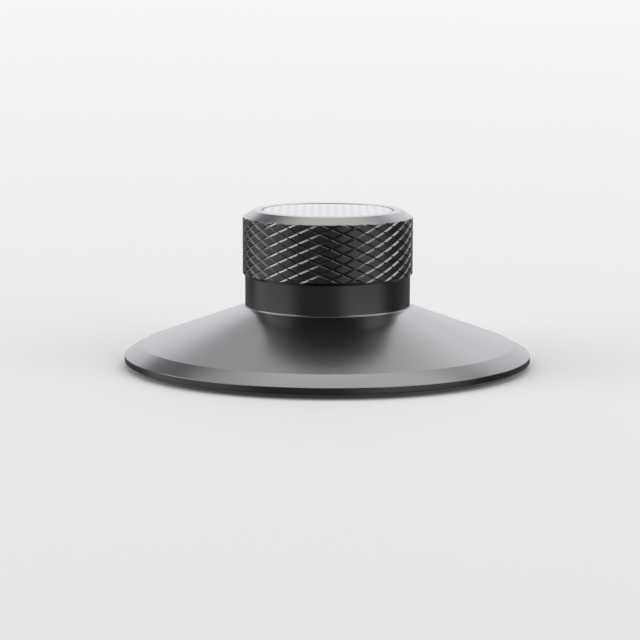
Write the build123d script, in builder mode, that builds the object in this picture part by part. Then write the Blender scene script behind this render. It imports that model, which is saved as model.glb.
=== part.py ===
from build123d import *
import os
from math import atan, pi, radians, sin, tan

# Driving dimensions, in millimetres and degrees
# The origin is on the turning axis, in the plane of the pad's underside, and +Z points up

# Skirt of the turned body: a low rim, a bevel and a shallow cone
rim_diameter = 82.0
rim_face_height = 1.25
rim_bevel_width = 3.4
rim_bevel_angle = 30.5
cone_angle = 20.1

# Neck and grip above the skirt
neck_relief = 0.5
neck_height = 6.1
neck_foot_radius = 0.4
grip_diameter = 34.3
grip_height = 11.9
grip_foot_height = 0.65
grip_bevel_width = 2.2
grip_bevel_height = 1.4
edge_break = 0.15

# Diamond knurl of the grip: crossing V grooves of two hands, each with a steep and a shallow flank
# Angles are from the middle of the groove, and the grooves that fall to the right are the deeper ones
knurl_starts = 24
knurl_row_height = 2.0
knurl_column_angle = -95.4
knurl_column_drop = 1.61
steep_flank_angle = 47.5
rising_depth = 0.15
rising_flank_angle = 67.5
falling_depth = 0.185
falling_flank_angle = 61.5

# Inlay disc in a recess in the top of the grip, inside a flat land
top_land = 1.75
inlay_clearance = 0.1
inlay_thickness = 1.2
inlay_edge_radius = 0.2
inlay_sink = 0.02
recess_edge_break = 0.05

# Soft ring pad in a seat under the rim
pad_inset = 2.0
pad_width = 8.0
pad_seat_depth = 1.0
pad_stand_off = 1.0
pad_edge = 0.3
pad_clearance = 0.1

# Shallow relief under the skirt, between the pad's inner land and the hub
relief_depth = 2.0
relief_corner = 0.8
relief_land = 1.6
hub_wall = 2.95

# Flanged elastomer sleeve that grips the spindle, and the room for the spindle's tip above it
spindle_grip_diameter = 7.0
sleeve_wall = 2.0
sleeve_length = 13.0
sleeve_flange_width = 2.5
sleeve_flange_thickness = 1.5
sleeve_lead_in = 0.6
sleeve_clearance = 0.05
sleeve_end_gap = 0.5
spindle_clearance = 0.5
spindle_room = 5.5
drill_point_angle = 118.0

# Radii and heights that follow from them
rim_radius = rim_diameter / 2
cone_foot_radius = rim_radius - rim_bevel_width
grip_radius = grip_diameter / 2
neck_radius = grip_radius - neck_relief
top_radius = grip_radius - grip_bevel_width
recess_radius = top_radius - top_land
inlay_radius = recess_radius - inlay_clearance

rim_bottom = pad_stand_off
rim_top = rim_bottom + rim_face_height
cone_foot = rim_top + rim_bevel_width * tan(radians(rim_bevel_angle))
neck_foot = cone_foot + (cone_foot_radius - neck_radius) * tan(radians(cone_angle))
grip_bottom = neck_foot + neck_height
grip_foot_top = grip_bottom + grip_foot_height
grip_shoulder = grip_bottom + grip_height
top = grip_shoulder + grip_bevel_height
recess_depth = inlay_sink + inlay_thickness
recess_floor = top - recess_depth

pad_radius = rim_radius - pad_inset
pad_inner_radius = pad_radius - pad_width
pad_thickness = pad_stand_off + pad_seat_depth

sleeve_bore_radius = spindle_grip_diameter / 2
sleeve_radius = sleeve_bore_radius + sleeve_wall
sleeve_flange_radius = sleeve_radius + sleeve_flange_width
sleeve_seat_depth = sleeve_length + sleeve_end_gap
spindle_room_radius = sleeve_bore_radius + spindle_clearance
spindle_room_top = rim_bottom + sleeve_seat_depth + spindle_room
drill_point_height = spindle_room_radius / tan(radians(drill_point_angle / 2))

hub_radius = sleeve_flange_radius + sleeve_clearance + hub_wall
relief_radius = pad_inner_radius - pad_clearance - relief_land

# One groove of each hand: a V section that turns as it climbs past both ends of the grip
knurl_lead = knurl_starts * knurl_row_height
knurl_helix = atan(knurl_lead / (2 * pi * grip_radius))
groove_run_out = 2 * rising_depth
groove_bottom = grip_bottom - groove_run_out
groove_height = grip_height + 2 * groove_run_out
groove_crossing = grip_shoulder - knurl_column_drop
groove_sections = 7

grooves = []
for hand, depth, shallow_angle in (
    (1, rising_depth, rising_flank_angle),
    (-1, falling_depth, falling_flank_angle),
):
    spread = 2 * depth / sin(knurl_helix)
    shallow_side = spread * tan(radians(shallow_angle))
    steep_side = spread * tan(radians(steep_flank_angle))
    with BuildPart() as groove:
        for section in range(groove_sections):
            height = groove_bottom + groove_height * section / (groove_sections - 1)
            turn = hand * 360 * (height - groove_crossing) / knurl_lead
            with BuildSketch(Plane.XY.offset(height).rotated((0, 0, turn))):
                with BuildLine():
                    Polyline(
                        (grip_radius - depth, 0),
                        (grip_radius + depth, shallow_side),
                        (grip_radius + depth, -steep_side),
                        close=True,
                    )
                make_face()
        loft()
    grooves.append(groove.part)

# Body: one turning, bored and relieved from below, with the knurl cut last
with BuildPart() as body:
    with BuildSketch(Plane.XZ) as body_section:
        with BuildLine():
            Polyline(
                (0, rim_bottom),
                (rim_radius, rim_bottom),
                (rim_radius, rim_top),
                (cone_foot_radius, cone_foot),
                (neck_radius, neck_foot),
                (neck_radius, grip_bottom),
                (grip_radius, grip_foot_top),
                (grip_radius, grip_shoulder),
                (top_radius, top),
                (0, top),
                close=True,
            )
        make_face()
        fillet(body_section.vertices().sort_by_distance((neck_radius, neck_foot))[0], neck_foot_radius)
        broken_corners = (
            (rim_radius, rim_bottom),
            (rim_radius, rim_top),
            (grip_radius, grip_shoulder),
            (top_radius, top),
        )
        for corner in broken_corners:
            chamfer(body_section.vertices().sort_by_distance(corner)[0], edge_break)
    revolve(axis=Axis.Z)

    # Recess for the inlay, with a broken edge
    with Locations((0, 0, top)):
        Hole(recess_radius, depth=recess_depth)
    top_edges = body.edges().filter_by(GeomType.CIRCLE).group_by(Axis.Z)[-1]
    chamfer(top_edges.sort_by(SortBy.RADIUS)[0], recess_edge_break)

    # Seat of the pad
    with BuildSketch(Plane.XY.offset(rim_bottom)):
        Circle(pad_radius + pad_clearance)
        Circle(pad_inner_radius - pad_clearance, mode=Mode.SUBTRACT)
    extrude(amount=pad_seat_depth, mode=Mode.SUBTRACT)

    # Relief around the hub, with sloped corners
    with BuildSketch(Plane.XZ) as relief_section:
        with Locations((hub_radius, rim_bottom)):
            Rectangle(relief_radius - hub_radius, relief_depth, align=Align.MIN)
        chamfer(relief_section.vertices().group_by(Axis.Y)[-1], relief_corner)
    revolve(axis=Axis.Z, mode=Mode.SUBTRACT)

    # Seat of the sleeve, and the drilled room above it
    with Locations(Plane((0, 0, rim_bottom), z_dir=(0, 0, -1))):
        CounterBoreHole(
            radius=sleeve_radius + sleeve_clearance,
            counter_bore_radius=sleeve_flange_radius + sleeve_clearance,
            counter_bore_depth=sleeve_flange_thickness,
            depth=sleeve_seat_depth,
        )
    with BuildSketch(Plane.XZ):
        with BuildLine():
            Polyline(
                (0, rim_bottom),
                (spindle_room_radius, rim_bottom),
                (spindle_room_radius, spindle_room_top),
                (0, spindle_room_top + drill_point_height),
                close=True,
            )
        make_face()
    revolve(axis=Axis.Z, mode=Mode.SUBTRACT)

    # Knurl
    with PolarLocations(0, knurl_starts, start_angle=knurl_column_angle):
        for cut in grooves:
            add(cut, mode=Mode.SUBTRACT)

# Inlay: a disc with a round upper edge, sunk a little below the grip's top
with BuildPart() as inlay:
    with BuildSketch(Plane.XY.offset(recess_floor)):
        Circle(inlay_radius)
    extrude(amount=inlay_thickness)
    fillet(inlay.edges().group_by(Axis.Z)[-1], inlay_edge_radius)

# Pad: a flat ring that stands below the rim, with broken lower edges
with BuildPart() as pad:
    with BuildSketch(Plane.XY):
        Circle(pad_radius)
        Circle(pad_inner_radius, mode=Mode.SUBTRACT)
    extrude(amount=pad_thickness)
    chamfer(pad.edges().group_by(Axis.Z)[0], pad_edge)

# Sleeve: a flanged bush, flush with the hub, with a lead-in at its mouth
with BuildPart() as sleeve:
    with BuildSketch(Plane.XY.offset(rim_bottom)):
        Circle(sleeve_flange_radius)
    extrude(amount=sleeve_flange_thickness)
    with BuildSketch(Plane.XY.offset(rim_bottom)):
        Circle(sleeve_radius)
    extrude(amount=sleeve_length)
    with Locations((0, 0, rim_bottom + sleeve_length)):
        Hole(sleeve_bore_radius, depth=sleeve_length)
    chamfer(sleeve.edges().group_by(Axis.Z)[0].sort_by(SortBy.RADIUS)[0], sleeve_lead_in)

# One file for each piece
body.part.label = "clamp_body"
inlay.part.label = "top_inlay"
pad.part.label = "rim_pad"
sleeve.part.label = "spindle_sleeve"

os.makedirs("parts", exist_ok=True)
for piece in (body.part, inlay.part, pad.part, sleeve.part):
    export_step(piece, f"parts/{piece.label}.step")
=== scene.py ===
from math import atan, cos, pi, radians, sin, tan

import bmesh
import bpy
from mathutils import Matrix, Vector


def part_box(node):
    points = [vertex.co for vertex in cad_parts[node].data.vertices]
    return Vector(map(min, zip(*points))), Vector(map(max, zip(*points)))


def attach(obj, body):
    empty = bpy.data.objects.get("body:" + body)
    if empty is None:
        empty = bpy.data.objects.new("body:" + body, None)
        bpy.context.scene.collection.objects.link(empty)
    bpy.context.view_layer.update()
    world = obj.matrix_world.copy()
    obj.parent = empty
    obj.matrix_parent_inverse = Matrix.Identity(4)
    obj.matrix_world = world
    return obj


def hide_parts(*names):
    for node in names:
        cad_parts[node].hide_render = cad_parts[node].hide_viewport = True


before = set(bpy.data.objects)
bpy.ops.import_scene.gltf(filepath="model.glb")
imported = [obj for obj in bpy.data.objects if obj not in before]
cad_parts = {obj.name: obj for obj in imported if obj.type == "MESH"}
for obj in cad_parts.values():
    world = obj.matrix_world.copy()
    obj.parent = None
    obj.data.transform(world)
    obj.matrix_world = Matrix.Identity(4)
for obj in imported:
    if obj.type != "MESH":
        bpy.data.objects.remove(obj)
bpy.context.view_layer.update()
mm = 0.001

# Turned body: one piece of aluminium bar with a low rim, a shallow cone, a neck and a knurled grip.
# It is bored and relieved from below, its grip is cut by two hands of helical grooves,
# and the whole piece is bead blasted and then anodised black.
body_low, body_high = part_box("clamp_body")
edge = 0.15 * mm

# Skirt: a low rim face, a bevel and the cone
rim_radius = body_high.x
rim_bottom = body_low.z
rim_face_height = 1.25 * mm
rim_bevel_width = 3.4 * mm
rim_bevel_angle = radians(30.5)
cone_angle = radians(20.1)
rim_top = rim_bottom + rim_face_height
cone_foot = rim_top + rim_bevel_width * tan(rim_bevel_angle)
cone_foot_radius = rim_radius - rim_bevel_width

# Neck and grip
top = body_high.z
grip_radius = 17.15 * mm
neck_relief = 0.5 * mm
neck_height = 6.1 * mm
neck_foot_radius = 0.4 * mm
grip_foot_height = 0.65 * mm
grip_bevel_height = 1.4 * mm
grip_bevel_width = 2.2 * mm
neck_radius = grip_radius - neck_relief
neck_foot = cone_foot + (cone_foot_radius - neck_radius) * tan(cone_angle)
grip_bottom = neck_foot + neck_height
grip_foot_top = grip_bottom + grip_foot_height
grip_shoulder = top - grip_bevel_height
top_radius = grip_radius - grip_bevel_width
bevel_slope = (top - grip_shoulder) / (grip_radius - top_radius)
bevel_support = 0.25 * mm

# Recess for the inlay, inside a flat land
top_land = 1.75 * mm
recess_depth = 1.22 * mm
recess_edge = 0.05 * mm
recess_radius = top_radius - top_land
recess_floor = top - recess_depth

# Seat of the pad, and the relief inside it
pad_low, pad_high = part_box("rim_pad")
pad_width = 8 * mm
seat_gap = 0.1 * mm
relief_land = 1.6 * mm
relief_depth = 2 * mm
relief_slope = 0.8 * mm
pad_radius = pad_high.x
pad_inner_radius = pad_radius - pad_width
relief_radius = pad_inner_radius - seat_gap - relief_land
relief_top = rim_bottom + relief_depth

# Hub with the seat of the sleeve, and the drilled room above it for the spindle's tip
sleeve_low, sleeve_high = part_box("spindle_sleeve")
sleeve_radius = 5.5 * mm
sleeve_gap = 0.05 * mm
sleeve_end_gap = 0.5 * mm
flange_thickness = 1.5 * mm
hub_wall = 2.95 * mm
spindle_room_radius = 4 * mm
spindle_room_height = 5.5 * mm
drill_point_half_angle = radians(59)
flange_radius = sleeve_high.x
flange_top = rim_bottom + flange_thickness
hub_radius = flange_radius + sleeve_gap + hub_wall
sleeve_seat_top = sleeve_high.z + sleeve_end_gap
spindle_room_top = sleeve_seat_top + spindle_room_height
drill_tip = spindle_room_top + spindle_room_radius / tan(drill_point_half_angle)


def rounded(corners, steps=7):
    """Outline points through (radius, height, rounding) corners, each rounding as an arc."""
    points = []
    for index, (radius, height, rounding) in enumerate(corners):
        here = Vector((radius, height))
        if not rounding:
            points.append(here)
            continue
        before = (Vector(corners[index - 1][:2]) - here).normalized()
        after = (Vector(corners[(index + 1) % len(corners)][:2]) - here).normalized()
        half = before.angle(after) / 2
        centre = here + (before + after).normalized() * rounding / sin(half)
        start = (here + before * rounding / tan(half) - centre).normalized()
        end = (here + after * rounding / tan(half) - centre).normalized()
        for step in range(steps + 1):
            points.append(centre + start.slerp(end, step / steps) * rounding)
    return points


def turning(name, outline, sides):
    """A closed mesh made by turning an outline about the upright axis, with poles on the axis."""
    on_axis = 1e-9
    shape = bmesh.new()
    rings = []
    for radius, height in outline:
        if radius < on_axis:
            rings.append([shape.verts.new((0, 0, height))] * sides)
            continue
        angles = (2 * pi * side / sides for side in range(sides))
        rings.append([shape.verts.new((radius * cos(a), radius * sin(a), height)) for a in angles])
    for lower, upper in zip(rings, rings[1:] + rings[:1]):
        for side in range(sides):
            turn = (side + 1) % sides
            loop = dict.fromkeys((lower[side], lower[turn], upper[turn], upper[side]))
            if len(loop) > 2:
                shape.faces.new(loop)
    bmesh.ops.recalc_face_normals(shape, faces=shape.faces)
    mesh = bpy.data.meshes.new(name)
    shape.to_mesh(mesh)
    shape.free()
    piece = bpy.data.objects.new(name, mesh)
    bpy.context.collection.objects.link(piece)
    return piece


body_outline = rounded(
    [
        (0, drill_tip, 0),
        (spindle_room_radius, spindle_room_top, 0),
        (spindle_room_radius, sleeve_seat_top, 0),
        (sleeve_radius + sleeve_gap, sleeve_seat_top, 0),
        (sleeve_radius + sleeve_gap, flange_top, 0),
        (flange_radius + sleeve_gap, flange_top, 0),
        (flange_radius + sleeve_gap, rim_bottom, edge),
        (hub_radius, rim_bottom, edge),
        (hub_radius, relief_top - relief_slope, 0),
        (hub_radius + relief_slope, relief_top, 0),
        (relief_radius - relief_slope, relief_top, 0),
        (relief_radius, relief_top - relief_slope, 0),
        (relief_radius, rim_bottom, edge),
        (pad_inner_radius - seat_gap, rim_bottom, edge),
        (pad_inner_radius - seat_gap, pad_high.z, 0),
        (pad_radius + seat_gap, pad_high.z, 0),
        (pad_radius + seat_gap, rim_bottom, edge),
        (rim_radius, rim_bottom, edge),
        (rim_radius, rim_top, edge),
        (cone_foot_radius, cone_foot, edge),
        (neck_radius, neck_foot, neck_foot_radius),
        (neck_radius, grip_bottom, 0),
        (grip_radius, grip_foot_top, 0),
        (grip_radius, grip_shoulder, edge),
        (grip_radius - bevel_support, grip_shoulder + bevel_support * bevel_slope, 0),
        (top_radius, top, edge),
        (recess_radius, top, recess_edge),
        (recess_radius, recess_floor, 0),
        (0, recess_floor, 0),
    ]
)
body = turning("clamp_body_turned", body_outline, sides=384)


class Wire:
    """An output socket of a node; arithmetic on it adds Math nodes to its tree."""

    def __init__(self, tree, socket):
        self.tree = tree
        self.socket = socket

    def math(self, operation, *values):
        return node(self.tree, "ShaderNodeMath", {"operation": operation}, dict(enumerate(values)))

    def __add__(self, other):
        return self.math("ADD", self, other)

    def __sub__(self, other):
        return self.math("SUBTRACT", self, other)

    def __mul__(self, other):
        return self.math("MULTIPLY", self, other)

    def __truediv__(self, other):
        return self.math("DIVIDE", self, other)

    def __radd__(self, other):
        return self.math("ADD", other, self)

    def __rsub__(self, other):
        return self.math("SUBTRACT", other, self)

    def __rmul__(self, other):
        return self.math("MULTIPLY", other, self)


def node(tree, kind, settings=None, sockets=None, output=0):
    """Adds a node, sets it, fills its sockets with values or wires, and returns one of its outputs."""
    made = tree.nodes.new(kind)
    for setting, value in (settings or {}).items():
        if setting == "stops":
            ramp = made.color_ramp
            while len(ramp.elements) < len(value):
                ramp.elements.new(0.5)
            for element, (position, colour) in zip(ramp.elements, value):
                element.position = position
                element.color = colour
        else:
            setattr(made, setting, value)
    for socket, value in (sockets or {}).items():
        for entry in value if isinstance(value, list) else [value]:
            if isinstance(entry, Wire):
                tree.links.new(entry.socket, made.inputs[socket])
            else:
                made.inputs[socket].default_value = entry
    return Wire(tree, made.outputs[output])


def split(vector):
    """The three parts of a vector wire."""
    parts = node(vector.tree, "ShaderNodeSeparateXYZ", {}, {0: vector}).socket.node.outputs
    return [Wire(vector.tree, part) for part in parts]


def finish(name):
    """A new material, its tree, and its surface shader node."""
    material = bpy.data.materials.new(name)
    material.use_nodes = True
    tree = material.node_tree
    return material, tree, tree.nodes["Principled BSDF"]


def feed(tree, shader, sockets):
    """Sets a shader's sockets to plain values or to wires."""
    for socket, value in sockets.items():
        if isinstance(value, Wire):
            tree.links.new(value.socket, shader.inputs[socket])
        else:
            shader.inputs[socket].default_value = value


def anodised_aluminium():
    """Black dye in a clear oxide skin over a fine blasted grain."""
    material, tree, shader = finish("anodised_aluminium")
    place = node(tree, "ShaderNodeTexCoord", output="Object")
    grain = node(
        tree, "ShaderNodeTexNoise", {},
        {"Vector": place, "Scale": 5600, "Detail": 2, "Roughness": 0.6},
    )
    cloud = node(tree, "ShaderNodeTexNoise", {}, {"Vector": place, "Scale": 160, "Detail": 2})
    colour = node(
        tree, "ShaderNodeValToRGB",
        {"stops": [(0.3, (0.0014, 0.0014, 0.0015, 1)), (0.75, (0.0028, 0.0028, 0.003, 1))]},
        {"Fac": grain},
    )
    bump = node(
        tree, "ShaderNodeBump", {}, {"Strength": 0.8, "Distance": 0.009 * mm, "Height": grain}
    )
    feed(tree, shader, {
        "Base Color": colour,
        "Roughness": 0.15 + 0.06 * grain + 0.03 * cloud,
        "Normal": bump,
        "IOR": 1.4,
    })
    return material


def diamond_knurl():
    """A tree that cuts crossing helical V grooves of both hands into a turned blank."""
    tree = bpy.data.node_groups.new("diamond_knurl", "GeometryNodeTree")
    hands = ("Rising", "Falling")
    groove_sizes = ("Depth", "Wide Side", "Narrow Side")
    sizes = ["Grip Radius", "Lead", "Bottom", "Height", "Crossing", "First Column"]
    sizes += [f"{hand} {size}" for hand in hands for size in groove_sizes]
    tree.interface.new_socket("Blank", in_out="INPUT", socket_type="NodeSocketGeometry")
    tree.interface.new_socket("Starts", in_out="INPUT", socket_type="NodeSocketInt")
    tree.interface.new_socket("Finish", in_out="INPUT", socket_type="NodeSocketMaterial")
    for size in sizes:
        tree.interface.new_socket(size, in_out="INPUT", socket_type="NodeSocketFloat")
    tree.interface.new_socket("Knurled", in_out="OUTPUT", socket_type="NodeSocketGeometry")
    entry = tree.nodes.new("NodeGroupInput")
    given = {socket.name: Wire(tree, socket) for socket in entry.outputs}

    # Each groove's cutter is a three-sided bar, from its sharp inner edge out to its open mouth
    bar = node(
        tree, "GeometryNodeMeshCylinder", {"fill_type": "NGON"},
        {"Vertices": 3, "Side Segments": 36, "Radius": 1, "Depth": 1},
    )
    bar_thickness = 1 + cos(pi / 3)
    bar_half_width = sin(pi / 3)
    across, along, up = split(node(tree, "GeometryNodeInputPosition"))
    outwards = (1 - across) / bar_thickness
    height = given["Bottom"] + (up + 0.5) * given["Height"]
    turn = (height - given["Crossing"]) / given["Lead"] * 2 * pi
    spot = node(tree, "GeometryNodeInputIndex") * 2 * pi / given["Starts"] + given["First Column"]
    places = node(
        tree, "GeometryNodeMeshLine", {"mode": "OFFSET"},
        {"Count": given["Starts"], "Offset": (0, 0, 0)},
    )
    spin = node(tree, "ShaderNodeCombineXYZ", {}, {"Z": spot})
    cutters = []
    for hand, sense in zip(hands, (1, -1)):
        depth, wide, narrow = (given[f"{hand} {size}"] for size in groove_sizes)
        radius = given["Grip Radius"] - depth + outwards * 2 * depth
        sideways = along / -bar_half_width * (wide + narrow) / 2 + outwards * (wide - narrow) / 2
        straight = node(tree, "ShaderNodeCombineXYZ", {}, {"X": radius, "Y": sideways, "Z": height})
        twisted = node(
            tree, "ShaderNodeVectorRotate", {"rotation_type": "Z_AXIS"},
            {"Vector": straight, "Angle": turn * sense},
        )
        cutter = node(tree, "GeometryNodeSetPosition", {}, {"Geometry": bar, "Position": twisted})
        ring = node(
            tree, "GeometryNodeInstanceOnPoints", {},
            {"Points": places, "Instance": cutter, "Rotation": spin},
        )
        cutters.append(node(tree, "GeometryNodeRealizeInstances", {}, {"Geometry": ring}))
    cut = node(
        tree, "GeometryNodeMeshBoolean", {"operation": "DIFFERENCE", "solver": "MANIFOLD"},
        {"Mesh 1": given["Blank"], "Mesh 2": cutters},
    )
    whole = node(tree, "GeometryNodeRealizeInstances", {}, {"Geometry": cut})
    finished = node(
        tree, "GeometryNodeSetMaterial", {}, {"Geometry": whole, "Material": given["Finish"]}
    )
    leave = tree.nodes.new("NodeGroupOutput")
    tree.links.new(finished.socket, leave.inputs["Knurled"])
    return tree


def apply_tree(piece, tree, inputs):
    """Runs a geometry tree on a piece and keeps the result as its plain mesh."""
    modifier = piece.modifiers.new(tree.name, "NODES")
    modifier.node_group = tree
    for item in tree.interface.items_tree:
        if item.in_out == "INPUT" and item.name in inputs:
            modifier[item.identifier] = inputs[item.name]
    evaluated = piece.evaluated_get(bpy.context.evaluated_depsgraph_get())
    made = bpy.data.meshes.new_from_object(evaluated)
    piece.modifiers.remove(modifier)
    piece.data = made


# Grooves of the knurl: each has a steep and a shallow flank, and the falling ones are deeper
groove_starts = 24
groove_row_height = 2.0 * mm
groove_run_out = 0.3 * mm
groove_crossing_drop = 1.61 * mm
first_column = radians(-95.4)
rising_depth = 0.15 * mm
falling_depth = 0.185 * mm
steep_flank = radians(47.5)
rising_flank = radians(67.5)
falling_flank = radians(61.5)
groove_lead = groove_starts * groove_row_height
groove_helix = atan(groove_lead / (2 * pi * grip_radius))


def groove_side(depth, flank_angle):
    """How far round the grip one flank of a groove's cutter reaches at the cutter's mouth."""
    return 2 * depth * tan(flank_angle) / sin(groove_helix)


apply_tree(body, diamond_knurl(), {
    "Starts": groove_starts,
    "Finish": anodised_aluminium(),
    "Grip Radius": grip_radius,
    "Lead": groove_lead,
    "Bottom": grip_bottom - groove_run_out,
    "Height": grip_shoulder - grip_bottom + 2 * groove_run_out,
    "Crossing": grip_shoulder - groove_crossing_drop,
    "First Column": first_column,
    "Rising Depth": rising_depth,
    "Rising Wide Side": groove_side(rising_depth, rising_flank),
    "Rising Narrow Side": groove_side(rising_depth, steep_flank),
    "Falling Depth": falling_depth,
    "Falling Wide Side": groove_side(falling_depth, falling_flank),
    "Falling Narrow Side": groove_side(falling_depth, steep_flank),
})
body.data.shade_smooth()
body.data.set_sharp_from_angle(angle=radians(15))
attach(body, "root")
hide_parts("clamp_body")

# Spindle sleeve: a flanged bush moulded in soft black elastomer, with a lead-in at its mouth.
# It is pressed up into the counterbored hub, flush with the hub's face, and grips the spindle.
bore_radius = 3.5 * mm
lead_in = 0.6 * mm
lead_in_edge = 0.1 * mm
bore_edge = 0.2 * mm
flange_edge = 0.2 * mm
flange_back_edge = 0.1 * mm
sleeve_end_edge = 0.3 * mm
sleeve_outline = rounded(
    [
        (bore_radius + lead_in, sleeve_low.z, lead_in_edge),
        (flange_radius, sleeve_low.z, flange_edge),
        (flange_radius, flange_top, flange_back_edge),
        (sleeve_radius, flange_top, 0),
        (sleeve_radius, sleeve_high.z, sleeve_end_edge),
        (bore_radius, sleeve_high.z, sleeve_end_edge),
        (bore_radius, sleeve_low.z + lead_in, bore_edge),
    ]
)
sleeve = turning("spindle_sleeve_moulded", sleeve_outline, sides=128)


def moulded_rubber(name, colours, grain_size, roughness):
    """Soft dark elastomer with the fine skin of its mould."""
    material, tree, shader = finish(name)
    place = node(tree, "ShaderNodeTexCoord", output="Object")
    skin = node(
        tree, "ShaderNodeTexNoise", {},
        {"Vector": place, "Scale": 1 / grain_size, "Detail": 4, "Roughness": 0.6},
    )
    bloom = node(tree, "ShaderNodeTexNoise", {}, {"Vector": place, "Scale": 220, "Detail": 3})
    colour = node(
        tree, "ShaderNodeValToRGB", {"stops": list(zip((0.3, 0.7), colours))},
        {"Fac": 0.6 * bloom + 0.4 * skin},
    )
    bump = node(
        tree, "ShaderNodeBump", {}, {"Strength": 0.5, "Distance": 0.15 * grain_size, "Height": skin}
    )
    feed(tree, shader, {
        "Base Color": colour,
        "Roughness": roughness + 0.15 * bloom,
        "Normal": bump,
    })
    return material


sleeve_blacks = ((0.014, 0.014, 0.015, 1), (0.026, 0.026, 0.027, 1))
sleeve.data.materials.append(
    moulded_rubber("sleeve_rubber", sleeve_blacks, grain_size=0.25 * mm, roughness=0.42)
)
sleeve.data.shade_smooth()
sleeve.data.set_sharp_from_angle(angle=radians(35))
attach(sleeve, "root")
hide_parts("spindle_sleeve")

# Rim pad: a flat ring cut from closed-cell rubber sheet, with softened lower edges.
# It is glued into the seat under the rim and stands a little below the metal.
pad_edge = 0.3 * mm
pad_outline = rounded(
    [
        (pad_inner_radius, pad_low.z, pad_edge),
        (pad_radius, pad_low.z, pad_edge),
        (pad_radius, pad_high.z, 0),
        (pad_inner_radius, pad_high.z, 0),
    ]
)
pad = turning("rim_pad_ring", pad_outline, sides=192)
pad_blacks = ((0.018, 0.018, 0.018, 1), (0.034, 0.034, 0.034, 1))
pad.data.materials.append(
    moulded_rubber("pad_rubber", pad_blacks, grain_size=0.4 * mm, roughness=0.72)
)
pad.data.shade_smooth()
pad.data.set_sharp_from_angle(angle=radians(35))
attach(pad, "root")
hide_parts("rim_pad")

# Top inlay: a disc of woven carbon fibre under a polished clear coat, with a rounded upper edge.
# It is bonded into the recess in the grip's top and sits a little below the land around it.
inlay_low, inlay_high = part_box("top_inlay")
inlay_radius = inlay_high.x
inlay_edge = 0.2 * mm
inlay_outline = rounded(
    [
        (0, inlay_low.z, 0),
        (inlay_radius, inlay_low.z, 0),
        (inlay_radius, inlay_high.z, inlay_edge),
        (0, inlay_high.z, 0),
    ],
    steps=8,
)
inlay = turning("top_inlay_disc", inlay_outline, sides=192)


def carbon_weave(tow):
    """Two by two twill of dark fibre tows, seen through a clear coat, with a painted highlight on each
    tow's crown and a painted sheen that makes the weft tows lighter than the warp.
    """
    material, tree, shader = finish("carbon_weave")
    place = node(tree, "ShaderNodeTexCoord", output="Object")
    across, along = split(place)[:2]
    column, row = across / tow, along / tow
    column_start = column.math("FLOOR", column)
    row_start = row.math("FLOOR", row)
    twill_repeat = 4.0
    last_warp_step = 1.5
    warp_run = row.math("FLOORED_MODULO", row + column_start, twill_repeat)
    weft_run = row.math("FLOORED_MODULO", column + row_start, twill_repeat)
    step = row.math("FLOORED_MODULO", column_start + row_start, twill_repeat)
    warp_on_top = row.math("LESS_THAN", step, last_warp_step)

    def crown(position, run):
        """Height of one tow where it floats on top, round across its width and along its float."""
        width = position.math("SINE", position.math("FRACT", position) * pi)
        length = position.math("SINE", run * (pi / 2))
        return width.math("POWER", width, 0.6) * length.math("ABSOLUTE", length)

    warp_height = crown(column, warp_run)
    weft_height = crown(row, weft_run)
    height = warp_on_top * warp_height + (1 - warp_on_top) * weft_height

    def fibres(stretch):
        """Fine lines drawn out along a tow."""
        drawn = node(tree, "ShaderNodeMapping", {}, {"Vector": place, "Scale": stretch})
        return node(tree, "ShaderNodeTexNoise", {}, {"Vector": drawn, "Scale": 9000, "Detail": 2})

    lines = warp_on_top * fibres((1, 0.03, 1)) + (1 - warp_on_top) * fibres((0.03, 1, 1))
    # Colour: a painted highlight makes each tow lighter where its crown rises, and a painted sheen
    # makes the weft tows lighter than the warp; the fibre lines are the weave's own pattern.
    shade = 0.45 * height + 0.35 * lines + 0.2 * (1 - warp_on_top)
    colour = node(
        tree, "ShaderNodeValToRGB",
        {"stops": [(0.1, (0.003, 0.003, 0.0035, 1)), (0.85, (0.028, 0.028, 0.03, 1))]},
        {"Fac": shade},
    )
    bump = node(
        tree, "ShaderNodeBump", {},
        {"Strength": 0.6, "Distance": 0.08 * tow, "Height": height + 0.12 * lines},
    )
    ridge = column.math("SINE", column.math("FRACT", column) * pi)
    feed(tree, shader, {
        "Base Color": colour,
        "Roughness": 0.5 - 0.15 * lines,
        "Normal": bump,
        "Specular IOR Level": 0.0,
        "Coat Weight": 0.9 + 0.06 * ridge + 0.04 * height,
        "Coat Roughness": 0.03,
    })
    return material


inlay.data.materials.append(carbon_weave(tow=1.6 * mm))
inlay.data.shade_smooth()
inlay.data.set_sharp_from_angle(angle=radians(35))
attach(inlay, "root")
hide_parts("top_inlay")

# Stage: a pale floor under a soft studio, with a bright backdrop, soft boxes on both sides and above,
# dim cards below the horizon that show in the upright walls, and the camera in front.
floor_mesh = bpy.data.meshes.new("floor")
reach = 12
below = -0.02 * mm
floor_mesh.from_pydata(
    [(-reach, -reach, below), (reach, -reach, below), (reach, reach, below), (-reach, reach, below)],
    [], [(0, 1, 2, 3)],
)
floor = bpy.data.objects.new("floor", floor_mesh)
bpy.context.collection.objects.link(floor)
paper, paper_tree, paper_shader = finish("pale_paper")
feed(paper_tree, paper_shader, {"Base Color": (0.135, 0.135, 0.135, 1), "Roughness": 0.9})
floor.data.materials.append(paper)
floor.visible_glossy = False

studio = bpy.data.worlds.new("studio")
bpy.context.scene.world = studio
studio.use_nodes = True
studio_tree = studio.node_tree
toward = node(studio_tree, "ShaderNodeTexCoord", output="Generated")
sideways, backwards, upwards = split(toward)


def fade(value, low, high):
    """A smooth step from 0 at low to 1 at high."""
    return node(
        value.tree, "ShaderNodeMapRange", {"interpolation_type": "SMOOTHSTEP"},
        {"Value": value, "From Min": low, "From Max": high},
    )


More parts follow.
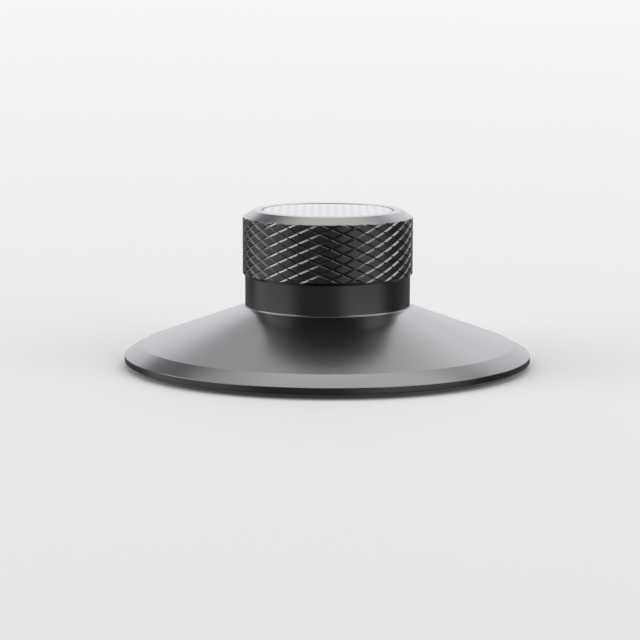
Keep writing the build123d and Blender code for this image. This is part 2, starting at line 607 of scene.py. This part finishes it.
def softbox(direction, half_angle, edge_angle):
    """How far a direction lies inside a round soft box, from 0 to 1."""
    facing = node(
        studio_tree, "ShaderNodeVectorMath", {"operation": "DOT_PRODUCT"},
        {0: toward, 1: Vector(direction).normalized()}, output="Value",
    )
    return fade(facing, cos(radians(half_angle + edge_angle)), cos(radians(half_angle)))


def lit(so_far, mask, radiance, tint):
    """Adds a light of that radiance and tint to the studio where the mask is 1."""
    light = node(
        studio_tree, "ShaderNodeVectorMath", {"operation": "SCALE"},
        {0: tint, "Scale": mask * radiance},
    )
    return node(studio_tree, "ShaderNodeVectorMath", {"operation": "ADD"}, {0: so_far, 1: light})


# Backdrop, brighter towards its top, with a flag and a shade on its left
backdrop = 0.98 + 2.1 * fade(upwards, -0.05, 0.6)
backdrop = backdrop * fade(backwards, 0.35, 0.75) * fade(upwards, -0.12, -0.04)
flag = softbox((-0.42, 0.7, 0.58), 6, 8)
shade = 1 - 0.3 * fade(sideways, -0.18, -0.36) * fade(upwards, 0.35, 0.5)
backdrop_glow = softbox((0.24, 0.74, 0.63), 6, 12)
backdrop_top_glow = softbox((0, 0.54, 0.84), 4, 9)

# Strip light overhead, and soft boxes that stop at the horizon and below the strip
strip = fade(backwards, 0.65, 0.36) * fade(backwards, -0.3, -0.1) * fade(upwards, 0.6, 0.8)
above = fade(upwards, 0.0, 0.12)
left_box = softbox((-0.868, -0.2, 0.454), 26, 14) * above * fade(upwards, 0.72, 0.5)
right_box = softbox((0.807, -0.429, 0.407), 24, 16) * above * fade(upwards, 0.72, 0.5)
back_right_box = softbox((0.85, 0.45, 0.276), 10, 14) * above

# Dim cards below the horizon
left_card = softbox((-0.98, -0.14, -0.14), 18, 30)
right_card = softbox((0.76, -0.64, -0.14), 12, 32)
front_card = softbox((0, -0.99, -0.14), 25, 25)

white = (1, 1, 1)
glow = (0.15, 0.15, 0.15)
for mask, radiance, tint in (
    (backdrop * shade * (1 - 0.6 * flag), 1, (0.985, 0.98, 1.03)),
    (backdrop_glow, 0.8, white),
    (backdrop_top_glow, 2.5, white),
    (strip * shade, 8.2, (1.02, 1, 0.98)),
    (left_box, 12.5, white),
    (right_box, 12, white),
    (back_right_box, 2.5, white),
    (left_card, 1.15, white),
    (right_card, 1.15, (1.02, 1, 0.92)),
    (front_card, 0.25, white),
):
    glow = lit(glow, mask, radiance, tint)
feed(studio_tree, studio_tree.nodes["Background"], {"Color": glow})

lens = bpy.data.cameras.new("camera")
lens.sensor_width = 36
lens.lens = 127.69
camera = bpy.data.objects.new("camera", lens)
camera_tilt, camera_roll, camera_turn = 90 - 8.578, -0.17, 0.2158
camera.location = (0, -454.95 * mm, 77.49 * mm)
camera.rotation_euler = (radians(camera_tilt), radians(camera_roll), radians(camera_turn))
bpy.context.collection.objects.link(camera)
bpy.context.scene.camera = camera
bpy.context.scene.view_settings.view_transform = "Standard"
